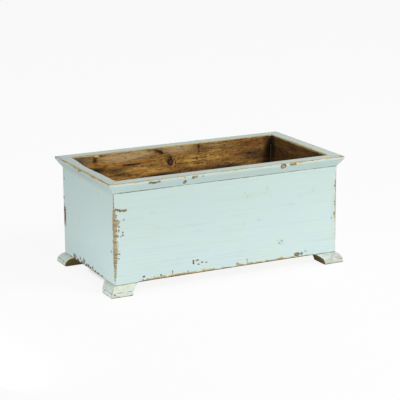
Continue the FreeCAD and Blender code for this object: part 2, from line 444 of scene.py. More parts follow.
def painted_pine(name, turn, knots, chips, marks, stain=paint_stained, grain_shows=1.0, tones=None,
                 darkness=0.0, deep=deep_stain_and_shade, wash=0.0, laps=()):
    """Old paint over pine: worn and chipped outside, brown stain on the faces never painted."""
    material, shader, place = new_finish(name)
    tree = place.tree
    height = node(tree, "ShaderNodeSeparateXYZ", {0: place}, "Z")
    turned = node(tree, "ShaderNodeMapping", {"Vector": place, "Rotation": (0.0, 0.0, turn)})
    shift = {0: next_board_shift, "Scale": piece_value(tree, "board")}
    along = vector("ADD", turned, node(tree, "ShaderNodeVectorMath", shift, operation="SCALE"))
    speckle = node(tree, "ShaderNodeTexNoise", {"Vector": place, "Scale": ragged_scale}, "Color")
    ragged = vector("SUBTRACT", speckle, (0.5, 0.5, 0.5))
    warped = strayed(place, ragged, chip_stray)
    frayed = strayed(place, ragged, stain_stray)

    shades = dict(even_tone, dark=darkness)
    for tone, spots in (tones or {}).items():
        shades[tone] = larger(ease(spots_over(frayed, spots), 0.0, 0.75), shades[tone])
    stained, grain = stained_colour(along, knots, shades, deep)
    wavering = cloud(along, stain_edge) * 0.3
    inside = ease(piece_value(tree, "inside") + wavering, 0.55, 0.75)
    inside = larger(inside - ease(spots_over(frayed, laps), 0.1, 0.4), 0.0)

    tints = {"Place": along, "Ring": grain["Ring"], "Stain": stain, "Grain": grain_shows}
    tints["Stained"] = spots_over(warped, marks)
    # Painted shade, growing from near the floor to the rim's top
    tints["Shaded Top"] = ease(height, top_shade_from, rim_top)
    tints["Dust"] = piece_value(tree, "upward") * 0.16
    paint = washed_out(use(aged_paint, tints)["Color"], place, wash)

    fields = {"Place": along, "Wear": piece_value(tree, "wear"), "Chips": spots_over(warped, chips)}
    lost = use(paint_loss, fields)
    under = blend(lost["Bare"], chip_rim, bare_wood(grain, height))
    colour = blend(lost["Loss"], blend(inside, paint, stained), under)
    patchy = ease(cloud(place, dirt_and_shade_patches, 3.0), 0.2, 0.5)
    # Dirt in joints, and painted shade along some edges, darken the colour towards dark brown
    dirt_and_shade = ease(piece_value(tree, "dirt_and_shade_line"), 0.0, 0.8) * patchy
    rough = larger(inside, lost["Loss"]) * 0.16 + grain["Fibre"] * 0.12 + 0.58
    relief = grain["Ring"] * -0.2 + grain["Fibre"] * 0.25 - lost["Loss"] * 0.7
    wire_up(shader, {"Base Color": blend(dirt_and_shade, colour, dirt_and_shade_brown), "Roughness": rough,
                     "Specular IOR Level": 0.3, "Normal": shallow_relief(relief)})
    return material


def stained_pine(name, turn, knots):
    """Unpainted brown-stained pine, for the floor and what carries it."""
    material, shader, place = new_finish(name)
    lying = {"Vector": place, "Rotation": (math.pi / 2, 0.0, turn)}
    along = node(place.tree, "ShaderNodeMapping", lying)
    colour, grain = stained_colour(along, knots, dict(even_tone, dark=0.1), deep_stain_and_shade)
    relief = grain["Fibre"] * 0.5 - grain["Ring"]
    wire_up(shader, {"Base Color": colour, "Roughness": grain["Fibre"] * 0.2 + 0.55,
                     "Normal": shallow_relief(relief)})
    return material


def dull_steel(name):
    """Plain steel that has lost its shine."""
    material, shader, place = new_finish(name)
    tarnish = ease(cloud(place, steel_tarnish, 4.0, 0.6), 0.4, 0.65)
    wire_up(shader, {"Base Color": blend(tarnish, steel_grey, steel_dull), "Roughness": tarnish * 0.25 + 0.4,
                     "Metallic": 0.85})
    return material


# Chips and marks, in millimetres, with heights from the walls' bottom edge
front_face = -wall_face_y / mm
back_face = wall_face_y / mm
back_inside = (wall_face_y - wall_thickness) / mm
left_face = -wall_face_x / mm
right_face = wall_face_x / mm
right_inside = (wall_face_x - wall_thickness) / mm
chip_depth = 6
mark_depth = 8


def on_long_face(y, rows, half_y=chip_depth):
    """Spots on a face that looks along y, each x, height, half length, half height and strength."""
    return [(x, y, z, half_x, half_y, half_z, strength) for x, z, half_x, half_z, strength in rows]


def on_end_face(x, rows, half_x=chip_depth):
    """Spots on a face that looks along x, each y, height, half length, half height and strength."""
    return [(x, y, z, half_x, half_y, half_z, strength) for y, z, half_y, half_z, strength in rows]


def on_each_foot(rows):
    """The same spots on all four feet, each x, y, height, three half sizes and strength."""
    return [(side * x, end * y, *rest) for side in (-1, 1) for end in (-1, 1) for x, y, *rest in rows]


front_chips = on_long_face(front_face, [
    (-299, 186, 6, 4, 0.66), (-292, 183.5, 8, 4, 0.66), (-284, 181, 10, 4, 0.8), (-276, 181, 7, 5, 1.0),
    (-297, 171, 4, 3.5, 0.7), (-295, 160, 3.4, 3, 0.66), (-292, 134, 3, 3, 0.7),
    (-295, 120.5, 5, 2.8, 0.75), (-297, 106, 3.4, 4, 0.7), (-295, 84, 3, 3, 0.66), (-293, 66, 3.4, 3, 0.7),
    (-300, 98, 2.6, 5, 0.62), (-279, 159, 2.6, 3.2, 0.9), (-282, 128, 4, 2.6, 0.8),
    (-282, 121.5, 4, 2.6, 0.8), (-287, 119, 2.6, 2.4, 0.8), (-292, 77, 3, 3.4, 0.75),
    (-292.5, 143, 3.4, 3, 0.75), (-230, 12, 4.5, 3, 0.6), (-184, 9, 5, 5, 0.8), (-232, 3, 6, 4, 0.8),
    (-154, 10, 1.7, 13, 0.9), (-154, 4, 4, 6, 0.9), (-113, 7, 3.4, 6, 0.9), (-97, 29, 4, 9, 0.72),
    (-88, 33, 8, 3, 0.72), (-84, 22, 5, 3, 0.75), (-75, 26, 5, 2.6, 0.8), (-63, 24, 6, 2.6, 0.85),
    (22, 7, 3, 5, 0.7), (50, 10, 1.6, 14, 0.8), (53, 3, 6, 5, 0.95), (192, 8, 12, 9, 0.66),
    (206, 9, 5, 6, 0.7), (216, 14, 3, 2.6, 0.7), (292, 90, 2.2, 3, 0.9), (302, 172, 3, 8, 0.6),
    (302, 134, 3, 8, 0.6), (300.5, 102, 4, 10, 0.6), (148, 50, 2.4, 2.6, 0.62), (141, 45, 2.2, 2.2, 0.6),
    (154, 38, 1.5, 1.5, 0.55), (136, 53, 1.5, 1.5, 0.55),
])
front_chips += [
    (-204, -172, 243, 18, 7, 4.4, 0.66), (-215, -172, 243, 6, 7, 4.6, 0.72),
    (-193, -172, 244, 6, 7, 5, 0.72), (-122, -166, 233, 6.5, 8, 8, 0.85), (-101, -172, 243, 8, 7, 6, 0.8),
    (-93, -172, 245, 4, 7, 4, 0.8), (-77, -172, 243, 2.6, 7, 3.6, 0.8), (-125, -172, 246, 2, 7, 3, 0.6),
    (144, -171, 243, 11, 8, 9, 1.0), (171, -173, 245, 13, 7, 5, 0.68), (166, -173, 247, 8, 7, 3, 0.9),
    (192, -173, 249, 8, 6, 3, 0.8),
]
front_marks = on_long_face(front_face, [
    (44, 184, 4, 7, 0.8), (51, 175, 4, 8, 0.9), (59, 181, 3, 7, 0.6), (107, 190, 6, 6, 1.0),
    (100, 176, 3, 6, 0.7), (115, 172, 3, 6, 0.6), (237, 171, 3, 11, 0.9), (248, 174, 2, 8, 0.5),
    (176, 141, 16, 2.6, 0.7), (199, 158, 14, 2.6, 0.6), (82, 112, 6, 4, 0.9), (91, 112, 4, 3, 0.7),
    (41, 106, 6, 5, 0.6), (145, 47, 12, 11, 0.7), (295, 116, 7, 110, 0.35), (-205, 166, 12, 6, 0.35),
    (-140, 46, 7, 5, 0.4),
], mark_depth)
back_tones = {
    "dark": [
        (-66, 248, 9, 3, 0.5), (-58, 245, 9, 4, 0.7), (-52, 242, 9, 5, 0.9), (-46, 239.5, 9, 5.6, 1.1),
        (-41, 237, 8, 6, 1.2), (-37, 234.5, 6, 5.4, 1.1), (-39, 217, 9, 4, 0.5), (-66, 204, 40, 12, 0.4),
        (70, 248, 11, 6, 0.7), (69, 240, 7, 9, 0.9), (69, 229, 4, 9, 0.7), (64, 209, 3.5, 9, 0.7),
        (-20, 208, 4, 12, 1.0), (-13, 221, 7, 4, 0.9), (-2, 213, 4, 4, 0.9), (2, 204, 3, 9, 0.9),
        (1, 194, 3, 6, 0.7), (-268, 234, 50, 30, 0.62), (-224, 234, 13, 17, 0.75), (-225, 206, 56, 15, 0.8),
        (-172, 202, 60, 15, 0.6), (-125, 212.5, 46, 5, 1.0), (-150, 190, 60, 9, 0.5),
        # The spot at x 280 on the next line, by the inner right corner, is painted shade
        (-40, 177, 90, 9, 0.8), (219, 207, 22, 9, 0.8), (150, 178, 120, 12, 0.7), (280, 215, 30, 90, 0.8),
    ],
    "ruddy": [
        (190, 247, 30, 5, 1.0), (235, 232, 70, 16, 0.8), (200, 212, 110, 30, 0.6), (-260, 236, 44, 14, 0.7),
        (60, 182, 110, 8, 0.7), (-13, 206, 8, 13, 0.8),
    ],
    "amber": [
        (-205, 219, 34, 3.2, 1.0), (-160, 220, 34, 3, 1.0), (-120, 221, 34, 3, 1.0),
        (-80, 220.5, 30, 3, 0.9), (-50, 218.5, 20, 2.6, 0.8), (-250, 218, 30, 3, 0.6),
        (-60, 184, 80, 4, 0.5),
    ],
    "golden": [
        (-100, 198, 66, 13, 0.8), (-75, 192, 70, 12, 0.8), (58, 217.5, 60, 3, 1.4),
        (60, 214.5, 24, 2.4, 1.2), (45, 202, 60, 14, 0.7), (70, 193, 52, 3, 1.3), (120, 224, 56, 5, 0.8),
        (100, 208, 80, 12, 0.7), (164, 189, 40, 6, 0.7), (287, 205, 2, 40, 0.8),
    ],
    "pale": [
        (-150, 238, 76, 22, 1.3), (-110, 238, 70, 18, 1.0), (10, 240, 80, 16, 0.75),
        (-165, 247, 50, 3, 1.2), (-264, 236, 40, 20, 0.8), (120, 240, 60, 12, 0.4),
    ],
}
back_tones = {tone: on_long_face(back_inside, rows) for tone, rows in back_tones.items()}
# Painted shade over the right third of the inner back face and low down in the box
broad_painted_shade = [(235, 204, 70, 30, 0.55), (40, 36, 300, 26, 0.4)]
back_tones["dark"] += on_long_face(back_inside, broad_painted_shade, mark_depth)
back_laps = on_long_face(back_inside, [(-240, 249, 36, 3.4, 1.0), (-219, 245, 9, 3, 1.0)])
back_chips = on_long_face(back_face, [
    (-268, 190, 16, 4, 0.8), (-248, 156, 3, 3, 0.8), (-160, 6, 13, 6, 0.9), (-60, 5, 4, 9, 0.8),
    (38, 7, 15, 6, 1.0), (61, 23, 8, 5, 0.7), (146, 4, 5, 5, 0.9), (212, 9, 12, 7, 0.8),
    (288, 98, 5, 12, 0.7), (281, 126, 3, 3, 0.8),
])
back_chips += [
    (76, 172, 250, 10, 8, 3, 1.0), (221, 171, 250, 4, 4, 2, 0.7), (-120, 172, 245, 13, 7, 4, 0.8),
    (-20, 167, 233, 5, 7, 6, 0.9), (205, 172, 244, 9, 7, 7, 1.0), (-305, 155, 100, 6, 10, 42, 0.66),
    (-305, 155, 146, 6, 7, 9, 0.5),
]
back_marks = on_long_face(back_inside, [(-240, 249, 40, 8, 1.6), (-217, 244.5, 14, 10, 1.6)])
back_marks += on_long_face(back_face, [
    (-90, 126, 12, 16, 0.7), (120, 66, 18, 9, 0.5), (220, 164, 9, 9, 0.6),
], mark_depth)
left_chips = on_end_face(left_face, [
    (149, 100, 8, 46, 0.56), (92, 6, 9, 12, 0.9), (99, 9, 3, 9, 0.5), (84, 9, 3, 10, 0.5),
    (70, 4, 9, 7, 0.5), (56, 11, 5, 8, 0.5), (33, 9, 7, 12, 0.62), (26, 13, 3, 9, 0.5), (45, 5, 9, 8, 0.5),
    (17, 5, 9, 8, 0.5), (5, 6, 10, 8, 0.55), (-8, 4, 9, 7, 0.5), (-24, 8, 8, 9, 0.55), (-40, 4, 11, 7, 0.5),
    (-58, 2, 13, 6, 0.5), (-81, 3, 8, 5, 0.5), (-141, 80, 3, 4, 0.7), (150, 196, 4, 4, 0.55),
])
left_chips += [
    (-319, 39, 248.5, 7, 13, 3.6, 0.62), (-319, 10, 248, 7, 20, 4, 0.66), (-318, 19, 243, 6, 7, 4, 0.7),
    (-319, -72, 248.5, 7, 19, 4, 0.64), (-319, -131, 249, 7, 7, 3, 0.5), (-319, 170, 249, 5, 5, 4, 0.5),
]
left_smudges = on_end_face(left_face, [(-69, 202, 5, 9, 0.5), (60, 116, 16, 9, 0.3)], mark_depth)
left_smudges += [(-312, 0, 235, 60, 420, 19, 1.3)]
# On the inner right face the dark spots are painted shade; the ruddy and golden ones are the wood's own tones
right_tones = {
    "dark": on_end_face(right_inside, [(138, 215, 46, 90, 0.8), (0, 186, 160, 20, 0.75)]),
    "ruddy": on_end_face(right_inside, [(28, 233, 40, 9, 0.9)]),
    "golden": on_end_face(right_inside, [(-40, 246, 120, 4, 0.7), (40, 222, 90, 3, 0.5)]),
}
right_chips = on_end_face(right_face, [
    (-120, 6, 9, 6, 0.9), (-60, 6, 4, 9, 0.8), (22, 7, 14, 7, 0.95), (90, 5, 5, 7, 0.85),
    (139, 154, 6, 14, 0.75), (132, 96, 3, 4, 0.8), (-138, 176, 10, 4, 0.8),
])
right_chips += [
    (318, -60, 246, 7, 12, 4, 0.85), (318, 40, 244, 7, 9, 6, 0.9), (314, 98, 234, 7, 5, 6, 0.9),
    (319, -170, 250, 12, 12, 5, 0.9),
]
right_marks = on_end_face(right_face, [(10, 152, 12, 15, 0.6), (-70, 72, 16, 8, 0.45)], mark_depth)
foot_chips = on_each_foot([
    (262, 175, -12, 3, 6, 4, 0.6), (321, 132, -16, 5, 4, 2.4, 0.5), (312, 176, -16, 5, 5, 2.2, 0.5),
])
foot_chips += [
    (-312, -176, -16, 6, 5, 2.6, 0.62), (-281, -176, -16.5, 6, 5, 2.2, 0.5), (-305, 176, -8, 6, 6, 3, 0.5),
]
foot_marks = on_each_foot([
    (285, 165, -4, 44, 9, 4.5, 1.6), (292, 176, -16.5, 12, 6, 3, 1.2), (318, 122, -10, 10, 5, 16, 1.0),
])
grey_foot_marks = [(296, -168, -10, 60, 40, 30, 1.5)]

# Knots in the boards, each a place along and across the board and a radius in millimetres
front_knots = [(-120, 150, 9), (150, 80, 11)]
back_knots = [(-13, 233.5, 6.5), (165, 120, 10), (-190, 92, 8)]
left_knots = [(40, 130, 9)]
right_knots = [(-60, 110, 10)]
floor_knots = [(-150, 60, 8), (120, -40, 9)]

along_box = 0.0
across_box = math.pi / 2
front_finish = painted_pine("worn_paint_front", along_box, front_knots, front_chips, front_marks)
back_finish = painted_pine("worn_paint_back", along_box, back_knots, back_chips, back_marks, paint_cream,
                           tones=back_tones, laps=back_laps)
left_finish = painted_pine("worn_paint_left", across_box, left_knots, left_chips, left_smudges, paint_smudged,
                           grain_shows=0.35)
# The darkness of 0.5 on the inner right face is painted shade
right_finish = painted_pine("worn_paint_right", across_box, right_knots, right_chips, right_marks,
                            grain_shows=0.5, tones=right_tones, darkness=0.5)
foot_finish = painted_pine("worn_paint_feet", along_box, [], foot_chips, foot_marks, paint_yellowed,
                           darkness=0.8, deep=stain_olive, wash=0.6)
grey_foot_finish = painted_pine("worn_paint_grey_foot", along_box, [], foot_chips, grey_foot_marks,
                                paint_greyed, darkness=0.8, deep=stain_olive, wash=0.45)
floor_finish = stained_pine("brown_stain_floor", along_box, floor_knots)
bearer_finish = stained_pine("brown_stain_bearers", across_box, [])
steel_finish = dull_steel("dull_steel")


# Worn shapes
def cut(bm, at, normal, clear=False):
    """Cut the mesh by a plane, and clear what lies beyond it if asked."""
    geometry = bm.verts[:] + bm.edges[:] + bm.faces[:]
    bmesh.ops.bisect_plane(bm, geom=geometry, dist=weld_distance, plane_co=at, plane_no=normal,
                           clear_outer=clear)


def cut_slices(bm, axis, low, high, slices):
    """Cut the mesh square to one axis, closely near both ends, so that wear has points to move."""
    fine, wide, margin = slices
    normal = Vector([float(axis == n) for n in range(3)])
    at = low + fine
    while at < high - fine / 2:
        cut(bm, normal * at, normal)
        at += fine if min(at - low, high - at) < margin else wide


def edges_at(bm, *tests):
    """The edges whose two ends both pass one of the tests."""
    return [edge for edge in bm.edges if any(all(test(v.co) for v in edge.verts) for test in tests)]


def flat_faces(bm, z):
    return [face for face in bm.faces if all(near(v.co.z, z) for v in face.verts)]


def near(value, wanted):
    return abs(value - wanted) < near_distance


def ease_edges(bm, edges, radius, segments=3):
    bmesh.ops.bevel(bm, geom=edges, offset=radius, offset_type="OFFSET", affect="EDGES", segments=segments,
                    profile=0.5, material=-1, clamp_overlap=True)


def raise_face(bm, face, rise):
    """Extrude one face by a vector and give the new face."""
    made = bmesh.ops.extrude_face_region(bm, geom=[face])["geom"]
    bmesh.ops.translate(bm, verts=[part for part in made if isinstance(part, bmesh.types.BMVert)], vec=rise)
    return next(part for part in made if isinstance(part, bmesh.types.BMFace))


def face_outward(bm):
    bmesh.ops.recalc_face_normals(bm, faces=bm.faces[:])


def prism(outline, rise):
    """A closed straight shape over an outline of a few points."""
    bm = bmesh.new()
    raise_face(bm, bm.faces.new([bm.verts.new(point) for point in outline]), rise)
    face_outward(bm)
    return bm


def clamped(share):
    return min(max(share, 0.0), 1.0)


def reach_at(share, reaches):
    """The value at a share of a line's length, from a list of shares and millimetres."""
    for (low, first), (high, second) in zip(reaches, reaches[1:]):
        if share <= high:
            return mm * (first + (second - first) * (share - low) / (high - low))
    return mm * reaches[-1][1]


def line_strength(at, line):
    """How strongly a worn arris, a dirty joint or a line of painted shade tells at a point: 1 on the line, 0
    at its reach.
    """
    start, end, weights, reaches = line
    along = end - start
    share = clamped((at - start).dot(along) / along.length_squared)
    gap = at - start - along * share
    reach = reach_at(share, reaches) * (0.9 + 0.5 * noise.noise(at * reach_waver_scale))
    return 1 - Vector([gap[n] * weights[n] for n in range(3)]).length / max(reach, least_reach)


def strongest(at, lines):
    return max([line_strength(at, line) for line in lines], default=-3.0)


def moved(lines, matrix):
    """Lines of wear, dirt and painted shade, carried along with their piece."""
    carried = []
    quarter_turn = abs(matrix[0][0]) < 0.5
    for start, end, (x, y, z), reaches in lines:
        weights = (y, x, z) if quarter_turn else (x, y, z)
        carried.append((matrix @ start, matrix @ end, weights, reaches))
    return carried


def mesh_of(bm, name, finish):
    mesh = bpy.data.meshes.new(name)
    bm.to_mesh(mesh)
    bm.free()
    mesh.materials.append(finish)
    return mesh


def new_object(name, data):
    made = bpy.data.objects.new(name, data)
    scene.collection.objects.link(made)
    return made


def finish_piece(bm, name, finish, arrises, dirt_and_shade_lines, never_painted, board=0.0, bite=wall_bite, rubbed=()):
    """Wear the shape along its arrises, and make it a piece in place of the solid of the same name."""
    bm.normal_update()
    worn_down = [strongest(v.co, arrises) for v in bm.verts]
    values = {
        "wear": [max(worn, strongest(v.co, rubbed)) for v, worn in zip(bm.verts, worn_down)],
        "dirt_and_shade_line": [strongest(v.co, dirt_and_shade_lines) for v in bm.verts],
        "inside": [float(never_painted(v.co)) for v in bm.verts],
        "upward": [max(v.normal.z, 0.0) for v in bm.verts],
        "board": [board] * len(bm.verts),
    }
    for v, worn in zip(bm.verts, worn_down):
        depth = bite * clamped(worn) ** 4 * (1 + noise.noise(v.co * bite_scale))
        v.co -= v.normal * depth
    mesh = mesh_of(bm, name, finish)
    for label, at_points in values.items():
        mesh.attributes.new(label, "FLOAT", "POINT").data.foreach_set("value", at_points)
    mesh.shade_smooth()
    mesh.set_sharp_from_angle(angle=sharp_angle)
    piece = new_object(name, mesh)
    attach(piece, "root")
    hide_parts(name.replace("worn_", ""))


# How far wear, dirt and painted shade reach along a line, by shares of its length and in millimetres
crest_wear = [(0, 1.2), (0.12, 3.6), (0.25, 1.2), (0.42, 1.4), (0.52, 3), (0.7, 3.4), (0.78, 1.2), (0.9, 4),
              (1, 3)]
crest_dirt = [(0, 1.2), (0.1, 1.2), (0.15, 0.8), (0.22, 1.4), (0.34, 1.4), (0.4, 0.9), (0.7, 1), (0.78, 1.6),
              (0.88, 1.6), (0.95, 0.9), (1, 0.9)]
no_dirt = [(0, 0.1), (1, 0.1)]
faint_wear = [(0, 0.6), (0.3, 1.8), (0.45, 0.6), (0.8, 2.2), (1, 0.8)]
toe_wear = [(0, 3.4), (0.3, 2.6), (0.6, 3.6), (1, 3.2)]
foot_corner = [(0, 1.3), (1, 1.3)]
# foot_shade: painted shade on a foot's side just under the wall
foot_shade = [(0, 5.4), (1, 5.4)]
foot_joint = [(0, 0.9), (1, 0.9)]
usual = [(0, 2), (0.2, 3.5), (0.35, 1.6), (0.5, 4), (0.7, 1.8), (0.85, 3.2), (1, 2)]
inside_corner = [(0, 2), (0.5, 1.4), (1, 3)]
thin_line = [(0, 3.2), (0.15, 3.6), (0.3, 2.8), (0.5, 3.6), (0.65, 2.8), (0.8, 3.6), (1, 3.2)]
hairline = [(0, 1.6), (0.3, 2.0), (0.6, 1.4), (1, 1.8)]
mitre_line = [(0, 0.7), (1, 0.7)]
# dark_edge: painted shade under the front wall's bottom arris, between the feet
dark_edge = [(0, 0.4), (0.095, 0.4), (0.105, 4.2), (0.3, 4.6), (0.6, 3.8), (0.89, 3.6), (0.9, 0.4), (1, 0.4)]
brown_joint = [(0, 2.0), (0.15, 1.7), (0.3, 1.2), (0.6, 1.4), (1, 1.6)]
faint = [(0, 0.6), (1, 0.6)]
# between_feet: a dark line along the end walls' lowest edge between the feet, partly dirt and partly painted
# shade
between_feet = [(0, 0.6), (0.14, 0.6), (0.2, 4.6), (0.35, 5), (0.6, 4.4), (0.8, 5), (0.85, 0.6), (1, 0.6)]
near_corner = [(0, 3), (0.06, 5.5), (0.2, 8.5), (0.26, 15), (0.32, 16), (0.38, 18), (0.46, 14), (0.53, 14),
               (0.58, 18.5), (0.63, 20), (0.7, 17), (0.76, 15), (0.81, 11), (0.84, 4.5), (0.9, 3.6), (1, 3)]
far_corner = [(0, 2), (0.15, 3), (0.33, 5), (0.44, 8), (0.56, 6.5), (0.62, 6.5), (0.73, 6.5), (0.79, 9),
              (0.91, 3), (1, 2)]
front_bottom = [(0, 0.8), (0.1, 1), (0.12, 6), (0.155, 7), (0.17, 15), (0.2, 14), (0.22, 9), (0.3, 10),
                (0.38, 10), (0.5, 8.5), (0.525, 9), (0.54, 14), (0.555, 9), (0.65, 8), (0.75, 9), (0.84, 7),
                (0.88, 3), (1, 1)]
left_rim = [(0, 2), (0.02, 1), (0.1, 1.2), (0.17, 4.4), (0.29, 4.8), (0.33, 5.4), (0.47, 5.4), (0.52, 3.6),
            (0.6, 4.4), (0.66, 5.4), (0.72, 4.6), (0.75, 3.8), (0.88, 4.6), (0.92, 3), (1, 2.6)]
back_rim_inside = [(0, 3), (0.3, 4), (0.7, 4.4), (1, 4)]
right_rim_inside = [(0, 3), (0.2, 6), (0.5, 7), (0.8, 6), (1, 3)]

# Radii of the rim's worn inner arris, by shares of its length and in millimetres
front_rounding = [(0, 4.5), (0.03, 2.4), (0.08, 1.5), (0.95, 1.5), (1, 2.5)]
back_rounding = [(0, 2.5), (0.05, 2), (0.95, 2), (1, 2.5)]
left_rounding = [(0, 2.5), (0.16, 6), (0.25, 10), (0.34, 13), (0.44, 14), (0.52, 12), (0.59, 10.5),
                 (0.66, 8.8), (0.72, 8), (0.9, 8), (0.96, 6.4), (1, 4.5)]
right_rounding = [(0, 2.5), (0.1, 3.6), (0.5, 4.4), (0.9, 3.6), (1, 2.5)]

# How much a distance from a line counts along x, y and z
evenly = (1, 1, 1)
less_along_end = (1, 1.5, 1)
more_along_inside = (0.7, 1, 1)
more_over_rim = (1, 0.7, 1)
more_under_rim = (1, 0.5, 1)
less_up_and_down = (1, 1, 1.6)


def upright(x, y):
    """A line up the walls."""
    return Vector((x, y, wall_bottom)), Vector((x, y, wall_top))


def level(half, y, z):
    """A line along x."""
    return Vector((-half, y, z)), Vector((half, y, z))


def long_wall(name, side, finish, corners, bottom):
    """A front or back board, full length, with a rabbet at each end for the end wall."""
    outer = side * wall_face_y
    lip = side * (wall_face_y - lip_thickness)
    inner = side * (wall_face_y - wall_thickness)
    inside_x = wall_face_x - wall_thickness
    plan = [(-wall_face_x, outer), (wall_face_x, outer), (wall_face_x, lip), (inside_x, lip),
            (inside_x, inner), (-inside_x, inner), (-inside_x, lip), (-wall_face_x, lip)]
    bm = prism([(x, y, wall_bottom) for x, y in plan], (0, 0, wall_top - wall_bottom))
    rounded = edges_at(bm, lambda co: near(co.y, outer) and near(abs(co.x), wall_face_x),
                       lambda co: near(co.y, outer) and near(co.z, wall_bottom),
                       lambda co: near(abs(co.x), wall_face_x) and near(co.z, wall_bottom))
    ease_edges(bm, rounded, corner_easing)
    cut_slices(bm, 0, -wall_face_x, wall_face_x, wall_slices)
    cut_slices(bm, 2, wall_bottom, wall_top, wall_slices)
    ends = zip((-wall_face_x, wall_face_x), corners)
    arrises = [(*upright(x, outer), less_along_end, reaches) for x, reaches in ends]
    arrises += [(*upright(x, inner), more_along_inside, inside_corner) for x in (-inside_x, inside_x)]
    arrises.append((*level(wall_face_x, outer, wall_bottom), evenly, bottom))
    # Dirt along the joint under the rim, and painted shade along the bottom arris
    dirt_and_shade_lines = [(*level(wall_face_x, outer, wall_top), evenly, brown_joint),
              (*level(wall_face_x, outer, wall_bottom + edge_shade_rise), evenly, dark_edge)]
    finish_piece(bm, name, finish, arrises, dirt_and_shade_lines, lambda co: side * co.y < side * inner + stain_wrap)


def end_wall(name, side, finish, bottom):
    """A short board between the rabbets of the long ones."""
    outer = side * wall_face_x
    inner = side * (wall_face_x - wall_thickness)
    half = wall_face_y - lip_thickness
    plan = [(outer, -half), (inner, -half), (inner, half), (outer, half)]
    bm = prism([(x, y, wall_bottom) for x, y in plan], (0, 0, wall_top - wall_bottom))
    ease_edges(bm, edges_at(bm, lambda co: near(co.x, outer) and near(co.z, wall_bottom)), corner_easing)
    cut_slices(bm, 1, -half, half, wall_slices)
    cut_slices(bm, 2, wall_bottom, wall_top, wall_slices)
    low_edge = [Vector((outer, y, wall_bottom)) for y in (-half, half)]
    arrises = [(*low_edge, evenly, bottom)]
    # Dirt and painted shade along the lowest edge
    dirt_and_shade_lines = [(*low_edge, evenly, between_feet)]
    finish_piece(bm, name, finish, arrises, dirt_and_shade_lines, lambda co: side * co.x < side * inner + stain_wrap)


def rounding_at(x, half, radii):
    return reach_at(clamped((x + half) / (2 * half)), radii)


def round_over(bm, inner_y, half, radii):
    """Wear the rim's inner arris round, by a radius that changes along it."""
    for v in bm.verts:
        radius = rounding_at(v.co.x, half, radii)
        gap = Vector((radius + v.co.y - inner_y, radius + v.co.z - rim_top))
        if gap.x > 0 and gap.y > 0 and gap.length > radius:
            gap *= radius / gap.length
            v.co.y = inner_y - radius + gap.x
            v.co.z = rim_top - radius + gap.y


def rim_cap(name, turn, half_length, half_width, finish, outer_reach, inner_reach, joint_reaches, radii):
    """One side of the rim, mitred: made along the front, then turned to its side."""
    wall_out = half_width - (rim_face_y - wall_face_y)
    wall_in = wall_out - wall_thickness
    half_inside = half_length - (half_width - wall_in)
    section = [(-wall_in, wall_top), (-wall_out, wall_top), (-half_width, rim_fillet_bottom),
               (-half_width, rim_top), (-wall_in, rim_top)]
    bm = prism([(-half_length, y, z) for y, z in section], (2 * half_length, 0, 0))
    rounded = edges_at(bm, lambda co: near(co.y, -half_width) and near(co.z, rim_top),
                       lambda co: near(co.y, -wall_in) and near(co.z, rim_top),
                       lambda co: near(co.y, -half_width) and near(co.z, rim_fillet_bottom))
    ease_edges(bm, rounded, rim_easing)
    for way in (-1, 1):
        cut(bm, (way * half_length, -half_width, 0), (way, 1, 0), clear=True)
        bmesh.ops.holes_fill(bm, edges=[edge for edge in bm.edges if edge.is_boundary], sides=0)
    cut_slices(bm, 0, -half_length, half_length, rim_length_slices)
    cut_slices(bm, 1, -half_width, -wall_in, rim_width_slices)
    cut_slices(bm, 2, wall_top, rim_top, rim_height_slices)
    face_outward(bm)
    round_over(bm, -wall_in, half_inside, radii)
    arrises = [(*level(half_length, rim_easing - half_width, rim_top), evenly, outer_reach),
               (*level(half_inside, -wall_in, rim_top), more_over_rim, inner_reach)]
    under_rim = level(half_length, -wall_out, wall_top)
    dirt_and_shade_lines = [(*under_rim, more_under_rim, reaches) for reaches in joint_reaches]
    for way in (-1, 1):
        tip = Vector((way * half_length, -half_width, rim_top))
        dirt_and_shade_lines.append((tip, Vector((way * half_inside, -wall_in, rim_top)), evenly, mitre_line))
    spin = Matrix.Rotation(turn, 4, "Z")
    unspun = spin.inverted()
    bmesh.ops.transform(bm, matrix=spin, verts=bm.verts[:])

    def never_painted(co):
        """The inner face, up over part of its rounding."""
        at = unspun @ co
        radius = rounding_at(at.x, half_inside, radii)
        return at.y > -wall_in - 0.6 * radius and at.z < rim_top - least_reach - 0.2 * radius

    finish_piece(bm, name, finish, moved(arrises, spin), moved(dirt_and_shade_lines, spin), never_painted, 1.0, rim_bite)


def bowed(z, low, high, rise):
    """How far out a bowed side stands at a height, from its lower and upper ends and the rise of its bow."""
    chord = high - low
    out = Vector((chord.y, -chord.x)).normalized()
    radius = (chord.length_squared / 4 + rise ** 2) / (2 * rise)
    centre = (low + high) / 2 + out * (rise - radius)
    return centre.x + math.sqrt(radius ** 2 - (z - centre.y) ** 2)


def foot_outside(z):
    """How far a foot stands out from the wall's face at a height."""
    if z < toe_radius:
        return foot_reach - toe_radius + math.sqrt(toe_radius ** 2 - (toe_radius - z) ** 2)
    return bowed(z, Vector((foot_reach, toe_radius)), Vector((0, wall_bottom)), foot_bulge)


def foot_inside(z):
    """How far a foot reaches in under the wall at a height."""
    return -bowed(z, Vector((-foot_bottom_depth, 0)), Vector((-foot_top_depth, wall_bottom)), foot_hollow)


